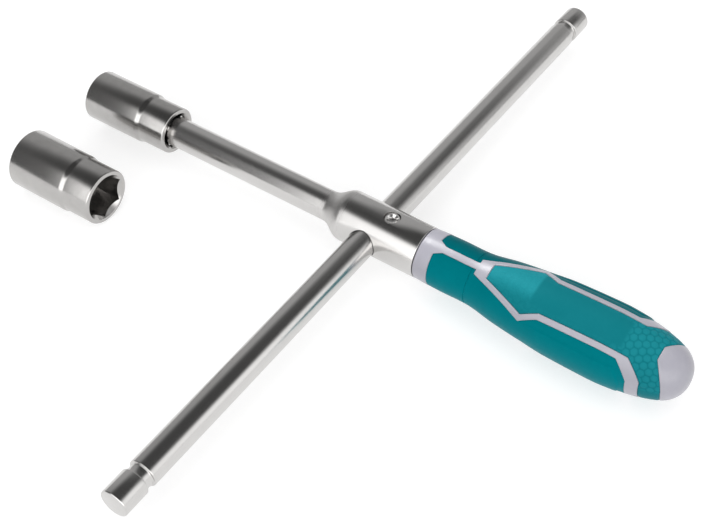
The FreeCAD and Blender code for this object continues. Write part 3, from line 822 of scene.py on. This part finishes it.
def side_relief(co, distance):
    """The side pad's height over the handle's plain surface; its panel ends beside the band."""
    seam = smooth_between(abs(co.x - SEAM_X), *SEAM_WALLS)
    turn = math.atan2(abs(co.y), abs(co.z))
    on_panel = smooth_between(turn, PANEL_EDGE - PANEL_EDGE_EASE, PANEL_EDGE + PANEL_EDGE_EASE)
    panel_end = PANEL_END + PANEL_END_SLANT * (abs(co.y) - PANEL_END_INNER) / PANEL_END_WIDTH
    on_panel *= smooth_between(co.x, panel_end, panel_end - PANEL_END_EASE)
    on_panel *= smooth_between(co.x, *PANEL_START)
    return on_panel * PANEL_RAISE - seam * SEAM_DEPTH


for side_name, node in (("right", "side_grip_right"), ("left", "side_grip_left")):
    side_mesh = shape_field(field_mesh(side_name), side_relief, edge_width=0.6 * MM, edge_depth=0.32 * MM)
    set_on_shaft(side_mesh)
    side_piece = finish_piece(f"side_grip_soft_{side_name}", side_mesh, 50)
    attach(side_piece, "wrench")
    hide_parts(node)

# %% [markdown]
# ## Hard core, frame and cap
# The core is one grey moulding: a slimmer round body inside, and the frame that stands up from
# it to the surface. The cap closes the tail and is pressed in from the end.

# %% Core with its frame, and the end cap
FRAME_PROUD = 0.12 * MM
COLLAR_FLUSH = (2 * MM, 4 * MM)
INNER_LENGTH = 0.985
INNER_GAP = 1.7 * MM
INNER_EVERY = 6
INNER_STEPS = 96


def frame_relief(co, distance):
    """The frame stands slightly proud of the soft fields."""
    return FRAME_PROUD * smooth_between(co.x, *COLLAR_FLUSH)


def plain_relief(co, distance):
    """No relief at all."""
    return 0.0


core_mesh = shape_field(field_mesh("frame"), frame_relief, edge_width=0.28 * MM, edge_depth=0.25 * MM)
inner_outline = [(0.0, 0.0, 0)]
for x, radius in profile[::INNER_EVERY]:
    if radius > INNER_GAP:
        inner_outline.append((x * INNER_LENGTH, radius - INNER_GAP, 0))
inner_outline.append((handle_length * INNER_LENGTH, 0.0, 0))
inner_mesh = spun_mesh(inner_outline, steps=INNER_STEPS)
scratch = bpy.data.meshes.new("scratch")
inner_mesh.to_mesh(scratch)
core_mesh.from_mesh(scratch)
inner_mesh.free()
bpy.data.meshes.remove(scratch)
set_on_shaft(core_mesh)
core = finish_piece("core_and_frame", core_mesh, 50)
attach(core, "wrench")
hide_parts("handle_core")

cap_mesh = shape_field(field_mesh("cap"), plain_relief, edge_width=0.4 * MM, edge_depth=0.3 * MM)
set_on_shaft(cap_mesh)
cap = finish_piece("tail_cap", cap_mesh, 50)
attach(cap, "wrench")
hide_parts("end_cap")
skin.free()

# %% [markdown]
# ## Materials
# Each finish is a small node tree on a Principled shader. Noise in object coordinates varies the
# colour and the roughness at the scale of the real surface, and a bump gives it its grain.

# %% Helpers for node materials
def new_material(name):
    """A material with a Principled shader, and its node tree."""
    material = bpy.data.materials.new(name)
    material.use_nodes = True
    tree = material.node_tree
    return material, tree, tree.nodes["Principled BSDF"]


def place(tree, kind, settings=None, inputs=None, links=None):
    """Adds a node, sets it up and links outputs into its inputs."""
    node = tree.nodes.new(kind)
    for key, value in (settings or {}).items():
        setattr(node, key, value)
    for key, value in (inputs or {}).items():
        node.inputs[key].default_value = value
    for key, socket in (links or {}).items():
        tree.links.new(socket, node.inputs[key])
    return node


def object_space(tree, scale):
    """Object coordinates stretched by a scale per axis."""
    coordinates = place(tree, "ShaderNodeTexCoord")
    mapping = place(tree, "ShaderNodeMapping", inputs={"Scale": scale},
                    links={"Vector": coordinates.outputs["Object"]})
    return mapping.outputs["Vector"]


def noise(tree, vector, scale, detail=4.0, roughness=0.55):
    """A noise texture's value."""
    node = place(tree, "ShaderNodeTexNoise",
                 inputs={"Scale": scale, "Detail": detail, "Roughness": roughness},
                 links={"Vector": vector})
    return node.outputs["Fac"]


def spread(tree, value, low, high, start=0.3, end=0.7):
    """Maps a noise value to a range."""
    node = place(tree, "ShaderNodeMapRange",
                 inputs={"From Min": start, "From Max": end, "To Min": low, "To Max": high},
                 links={"Value": value})
    return node.outputs["Result"]


def blend_colours(tree, factor, first, second):
    """Mixes two colours by a value."""
    node = place(tree, "ShaderNodeMix", settings={"data_type": "RGBA"}, links={"Factor": factor})
    node.inputs["A"].default_value = (*first, 1)
    node.inputs["B"].default_value = (*second, 1)
    return node.outputs["Result"]


def bumped(tree, height, strength, distance, under=None):
    """A bump from a height value, on top of another bump if given."""
    links = {"Height": height}
    if under is not None:
        links["Normal"] = under
    node = place(tree, "ShaderNodeBump", inputs={"Strength": strength, "Distance": distance}, links=links)
    return node.outputs["Normal"]


# %% [markdown]
# ### Plated steel
# The steel has a satin nickel-chrome plate over a ground surface: nearly colourless, softly
# blurred reflections, with faint marks left by the grinding. On the bar and the shaft the marks
# run round the rod, and on the sockets they are finer and the plate is cloudier. The flare can't
# be ground as finely as the straight parts, so it is duller.

# %% Steel finishes
DULL_EXTRA = 0.24
DULL_EASE = 2.5 * MM


def steel(name, colour, tint, rough_low, rough_high, grain_scale, grain_depth, cloud_scale, dull=None):
    """A plated steel with grinding marks stretched by grain_scale, duller between two x if given."""
    material, tree, shader = new_material(name)
    shader.inputs["Metallic"].default_value = 1.0
    plain = object_space(tree, (1, 1, 1))
    grain = noise(tree, object_space(tree, grain_scale), 1.0, detail=5.0, roughness=0.7)
    cloud = noise(tree, plain, cloud_scale, detail=3.0)
    speck = noise(tree, plain, 2600.0, detail=2.0)
    soft_cloud = spread(tree, cloud, 0, 1, start=0.15, end=0.85)
    tree.links.new(blend_colours(tree, soft_cloud, colour, tint), shader.inputs["Base Color"])
    rough = place(tree, "ShaderNodeMath", settings={"operation": "MULTIPLY_ADD"},
                  inputs={1: rough_high - rough_low, 2: rough_low}, links={0: soft_cloud})
    streak = place(tree, "ShaderNodeMath", settings={"operation": "MULTIPLY_ADD"},
                   inputs={1: 0.04}, links={0: spread(tree, grain, 0, 1), 2: rough.outputs[0]})
    finish = streak.outputs[0]
    if dull is not None:
        along = place(tree, "ShaderNodeSeparateXYZ", links={"Vector": plain}).outputs["X"]
        offset = place(tree, "ShaderNodeMath", settings={"operation": "SUBTRACT"}, inputs={1: sum(dull) / 2},
                       links={0: along})
        away = place(tree, "ShaderNodeMath", settings={"operation": "ABSOLUTE"}, links={0: offset.outputs[0]})
        half = (dull[1] - dull[0]) / 2
        extra = spread(tree, away.outputs[0], DULL_EXTRA, 0.0, start=half - DULL_EASE, end=half + DULL_EASE)
        finish = place(tree, "ShaderNodeMath", links={0: finish, 1: extra}).outputs[0]
    tree.links.new(finish, shader.inputs["Roughness"])
    fine = bumped(tree, speck, 0.12, 0.00001)
    tree.links.new(bumped(tree, grain, grain_depth, 0.00002, fine), shader.inputs["Normal"])
    return material


steel_bar = steel("satin_plate_bar", (0.61, 0.60, 0.59), (0.57, 0.56, 0.55), 0.19, 0.23,
                  (400, 3000, 400), 0.05, 90.0)
steel_shaft = steel("satin_plate_shaft", (0.61, 0.60, 0.59), (0.57, 0.56, 0.55), 0.17, 0.21,
                    (3000, 400, 400), 0.05, 90.0, dull=(flare_start, flare_end))
steel_socket = steel("satin_plate_socket", (0.49, 0.48, 0.47), (0.43, 0.42, 0.41), 0.17, 0.21,
                     (1500, 900, 900), 0.11, 220.0)
steel_bright = steel("bright_steel_small", (0.78, 0.77, 0.76), (0.72, 0.71, 0.70), 0.10, 0.16,
                     (2500, 2500, 2500), 0.05, 300.0)
steel_spring = steel("spring_wire_steel", (0.42, 0.41, 0.42), (0.36, 0.34, 0.33), 0.26, 0.36,
                     (900, 900, 3000), 0.08, 500.0)

# %% [markdown]
# ### Handle plastics
# The frame and cap are hard plastic with a pearl-grey colour and a fine moulded grain. The soft
# grips are rubber: deep teal, with a faint teal-tinted reflection and a fine stipple that
# spreads every highlight.

# %% Plastic and rubber
def moulded(name, colour, tint, rough_low, rough_high, stipple_scale, stipple, painted_groove_shade=None):
    """A moulded plastic or rubber with clouded colour and a fine stipple; given a groove colour, it also
    mixes in the painted shade and painted highlight kept on the mesh.
    """
    material, tree, shader = new_material(name)
    plain = object_space(tree, (1, 1, 1))
    cloud = noise(tree, plain, 70.0, detail=4.0)
    fine = noise(tree, plain, stipple_scale, detail=3.0)
    mottle = noise(tree, plain, 420.0, detail=3.0)
    mixed = place(tree, "ShaderNodeMath", settings={"operation": "MULTIPLY_ADD"},
                  inputs={1: 0.45, 2: -0.1}, links={0: spread(tree, mottle, 0, 1)})
    factor = place(tree, "ShaderNodeMath", settings={"operation": "MULTIPLY_ADD", "use_clamp": True},
                   inputs={1: 0.6}, links={0: spread(tree, cloud, 0, 1), 2: mixed.outputs[0]})
    body_colour = blend_colours(tree, factor.outputs[0], colour, tint)
    # Painted light: a per-point tone mixes the colour from painted groove shade up to the painted highlight.
    if painted_groove_shade is not None:
        painted_light_node = place(tree, "ShaderNodeAttribute", settings={"attribute_name": "painted_light_tone"})
        shaded = place(tree, "ShaderNodeMix", settings={"data_type": "RGBA"},
                       links={"Factor": painted_light_node.outputs["Fac"], "B": body_colour})
        shaded.inputs["A"].default_value = (*painted_groove_shade, 1)
        body_colour = shaded.outputs["Result"]
    tree.links.new(body_colour, shader.inputs["Base Color"])
    tree.links.new(spread(tree, mottle, rough_low, rough_high), shader.inputs["Roughness"])
    tree.links.new(bumped(tree, fine, stipple, 0.00004), shader.inputs["Normal"])
    return material, shader


TEAL = (0.0, 0.150, 0.176)
TEAL_CLOUD = (0.0, 0.134, 0.160)
# The palm's lighter teal holds a painted highlight, and its groove teal is painted shade for the honeycomb's
# grooves.
TEAL_PAINTED_HIGHLIGHT = (0.014, 0.205, 0.238)
TEAL_PAINTED_HIGHLIGHT_CLOUD = (0.010, 0.182, 0.213)
TEAL_PAINTED_GROOVE_SHADE = (0.0, 0.088, 0.105)
PEARL = (0.300, 0.295, 0.334)
PEARL_CLOUD = (0.276, 0.271, 0.309)
rubber, rubber_shader = moulded("teal_rubber", TEAL, TEAL_CLOUD, 0.34, 0.42, 2400.0, 0.25)
palm_rubber, palm_shader = moulded("teal_rubber_honeycomb", TEAL_PAINTED_HIGHLIGHT, TEAL_PAINTED_HIGHLIGHT_CLOUD, 0.34, 0.42,
                                   2400.0, 0.25, TEAL_PAINTED_GROOVE_SHADE)
for shader in (rubber_shader, palm_shader):
    shader.inputs["Specular Tint"].default_value = (0.05, 0.80, 0.85, 1.0)
    shader.inputs["Specular IOR Level"].default_value = 0.5
    shader.inputs["IOR"].default_value = 1.12
plastic, plastic_shader = moulded("pearl_grey_plastic", PEARL, PEARL_CLOUD, 0.30, 0.38, 1800.0, 0.15)
plastic_shader.inputs["Coat Weight"].default_value = 0.15
plastic_shader.inputs["Coat Roughness"].default_value = 0.3


# %% Give every piece its finish
def coat(piece, material):
    """Makes a material the piece's only one."""
    piece.data.materials.clear()
    piece.data.materials.append(material)


for piece, material in ((bar, steel_bar), (shaft, steel_shaft), (fitted, steel_socket), (spare, steel_socket),
                        (screw, steel_bright), (palm, palm_rubber), (core, plastic), (cap, plastic)):
    coat(piece, material)
side_grips = [bpy.data.objects[f"side_grip_soft_{side_name}"] for side_name in ("right", "left")]
for piece in side_grips:
    coat(piece, rubber)
for node, material in (("detent_ball", steel_bright), ("drive_ball", steel_bright),
                       ("detent_spring", steel_spring), ("drive_ball_spring", steel_spring)):
    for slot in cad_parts[node].material_slots:
        slot.material = material
print("materials:", [material.name for material in bpy.data.materials])

# %% [markdown]
# ## Floor, light and camera
# A tool like this is shown in a light tent: bright walls all round, a dark opening overhead where
# the camera looks in. The steel mirrors exactly that, which gives it dark and white bands, so
# the world is shaped the same way by direction. A broad lamp overhead evens out the floor.

# %% Floor
FLOOR_GLOW = 0.60
floor_mesh = bmesh.new()
bmesh.ops.create_grid(floor_mesh, x_segments=8, y_segments=8, size=6.0)
bmesh.ops.translate(floor_mesh, verts=floor_mesh.verts, vec=(0, 0, -belly_radius - 0.05 * MM))
floor = finish_piece("studio_floor", floor_mesh)
paper, paper_tree, paper_shader = new_material("floor_paper")
paper_tone = noise(paper_tree, object_space(paper_tree, (1, 1, 1)), 3.0)
paper_tree.links.new(blend_colours(paper_tree, paper_tone, (0.52, 0.52, 0.52), (0.53, 0.53, 0.53)),
                     paper_shader.inputs["Base Color"])
paper_shader.inputs["Roughness"].default_value = 0.9
paper_shader.inputs["Emission Color"].default_value = (1.0, 1.0, 1.0, 1.0)
paper_shader.inputs["Emission Strength"].default_value = FLOOR_GLOW
coat(floor, paper)

# %% Light tent
world = bpy.data.worlds.new("light_tent")
bpy.context.scene.world = world
world.use_nodes = True
sky = world.node_tree
backdrop = sky.nodes["Background"]
direction = place(sky, "ShaderNodeTexCoord").outputs["Generated"]
height = place(sky, "ShaderNodeSeparateXYZ", links={"Vector": direction}).outputs["Z"]


def facing(toward, low, high):
    """0 to 1 by how far a direction faces toward a vector."""
    dot = place(sky, "ShaderNodeVectorMath", settings={"operation": "DOT_PRODUCT"}, inputs={1: toward},
                links={0: direction})
    node = place(sky, "ShaderNodeMapRange", settings={"interpolation_type": "SMOOTHSTEP"},
                 inputs={"From Min": low, "From Max": high}, links={"Value": dot.outputs["Value"]})
    return node.outputs["Result"]


def combine(operation, a, b):
    """Math on two values, each a socket or a number."""
    node = place(sky, "ShaderNodeMath", settings={"operation": operation})
    for index, value in enumerate((a, b)):
        if isinstance(value, (int, float)):
            node.inputs[index].default_value = value
        else:
            sky.links.new(value, node.inputs[index])
    return node.outputs[0]


BACK_WALL = 0.50
DIM_CORNER = 0.14
NEAR_WALL = 1.75
RIGHT_WALL = 0.46
RIGHT_NEAR_WALL = 0.45
CEILING = 0.07
RIGHT = (0.87, -0.5, 0.0)
HORIZON_TONE = 0.55
HORIZON_TOP = 0.07
WALL_TOP = 0.78
TAIL_DROP = 0.20
LOW_BACK_DROP = 0.16
WALL_FADE = 0.16
NEAR_FADE = 0.07

back = facing((0.0, 1.0, 0.0), -0.2, 0.5)
near = facing((0.0, -1.0, 0.0), -0.1, 0.4)
near_lit = combine("MULTIPLY", near, facing((1.0, 0.0, 0.0), -0.515, -0.465))
right_lit = facing(RIGHT, 0.24, 0.42)
right_near = facing(RIGHT, 0.36, 0.50)
wall_tone = combine("ADD", combine("MULTIPLY", back, BACK_WALL - DIM_CORNER), DIM_CORNER)
wall_tone = combine("ADD", wall_tone, combine("MULTIPLY", near_lit, NEAR_WALL - DIM_CORNER))
wall_tone = combine("ADD", wall_tone, combine("MULTIPLY", right_lit, RIGHT_WALL))
wall_tone = combine("ADD", wall_tone, combine("MULTIPLY", right_near, RIGHT_NEAR_WALL))
horizon = place(sky, "ShaderNodeMapRange", links={"Value": height},
                inputs={"From Min": 0.0, "From Max": HORIZON_TOP, "To Min": HORIZON_TONE, "To Max": 1.0})
wall_tone = combine("MULTIPLY", wall_tone, horizon.outputs["Result"])
tail_side = facing((1.0, 0.0, 0.0), 0.0, 0.6)
wall_top = combine("SUBTRACT", WALL_TOP, combine("MULTIPLY", tail_side, TAIL_DROP))
low_back = combine("MULTIPLY", facing((0.0, 1.0, 0.0), 0.58, 0.72), facing((1.0, 0.0, 0.0), -0.32, -0.12))
wall_top = combine("SUBTRACT", wall_top, combine("MULTIPLY", low_back, LOW_BACK_DROP))
fade = combine("SUBTRACT", WALL_FADE, combine("MULTIPLY", near, NEAR_FADE))
over_wall = place(sky, "ShaderNodeMapRange", settings={"interpolation_type": "SMOOTHSTEP"},
                  inputs={"From Min": -1.0, "From Max": 1.0},
                  links={"Value": combine("DIVIDE", combine("SUBTRACT", height, wall_top), fade)})
over_wall = over_wall.outputs["Result"]
tone = combine("ADD", combine("MULTIPLY", wall_tone, combine("SUBTRACT", 1.0, over_wall)),
               combine("MULTIPLY", over_wall, CEILING))
sky.links.new(tone, backdrop.inputs["Color"])


# %% Lamps
def lamp(name, location, size, power, target=(0.18, 0.0, 0.0)):
    """A square lamp that lights surfaces without showing in the steel."""
    light = bpy.data.lights.new(name, "AREA")
    light.size = size
    light.energy = power
    shine = bpy.data.objects.new(name, light)
    shine.location = location
    aim = Vector(target) - Vector(location)
    shine.rotation_euler = aim.to_track_quat("-Z", "Y").to_euler()
    shine.visible_glossy = False
    shine.visible_camera = False
    bpy.context.scene.collection.objects.link(shine)
    return shine


lamp("overhead", (0.1, 0.1, 1.6), 2.2, 18.0)

# %% Lamps for the grips only
grips = bpy.data.collections.new("lit_grips")
for piece in (palm, core, cap):
    grips.objects.link(piece)
for name, location, size, power in (("front_shine", (-0.29, 0.24, 0.80), 0.34, 6.0),
                                    ("tail_shine", (0.42, 0.20, 0.95), 0.30, 1.5)):
    shine = lamp(name, location, size, power, (0.28, 0.0, 0.0))
    shine.visible_glossy = True
    shine.light_linking.receiver_collection = grips

# %% Camera
camera_data = bpy.data.cameras.new("camera")
camera_data.lens = 71.87
camera_data.sensor_width = 36.0
camera_data.clip_start = 0.01
camera = bpy.data.objects.new("camera", camera_data)
EYE = Vector((0.4515, -0.4038, 0.4969))
AZIMUTH = math.radians(35.26993591)
ELEVATION = math.radians(47.05567577)
ROLL = math.radians(-0.5737968)
look = Vector((-math.sin(AZIMUTH) * math.cos(ELEVATION), math.cos(AZIMUTH) * math.cos(ELEVATION),
               -math.sin(ELEVATION)))
turn = look.to_track_quat("-Z", "Y").to_matrix() @ Matrix.Rotation(ROLL, 3, "Z")
camera.matrix_world = Matrix.Translation(EYE) @ turn.to_4x4()
bpy.context.scene.collection.objects.link(camera)
bpy.context.scene.camera = camera
bpy.context.scene.view_settings.view_transform = "Standard"
print("camera right:", [round(v, 3) for v in turn.col[0]], "up:", [round(v, 3) for v in turn.col[1]])
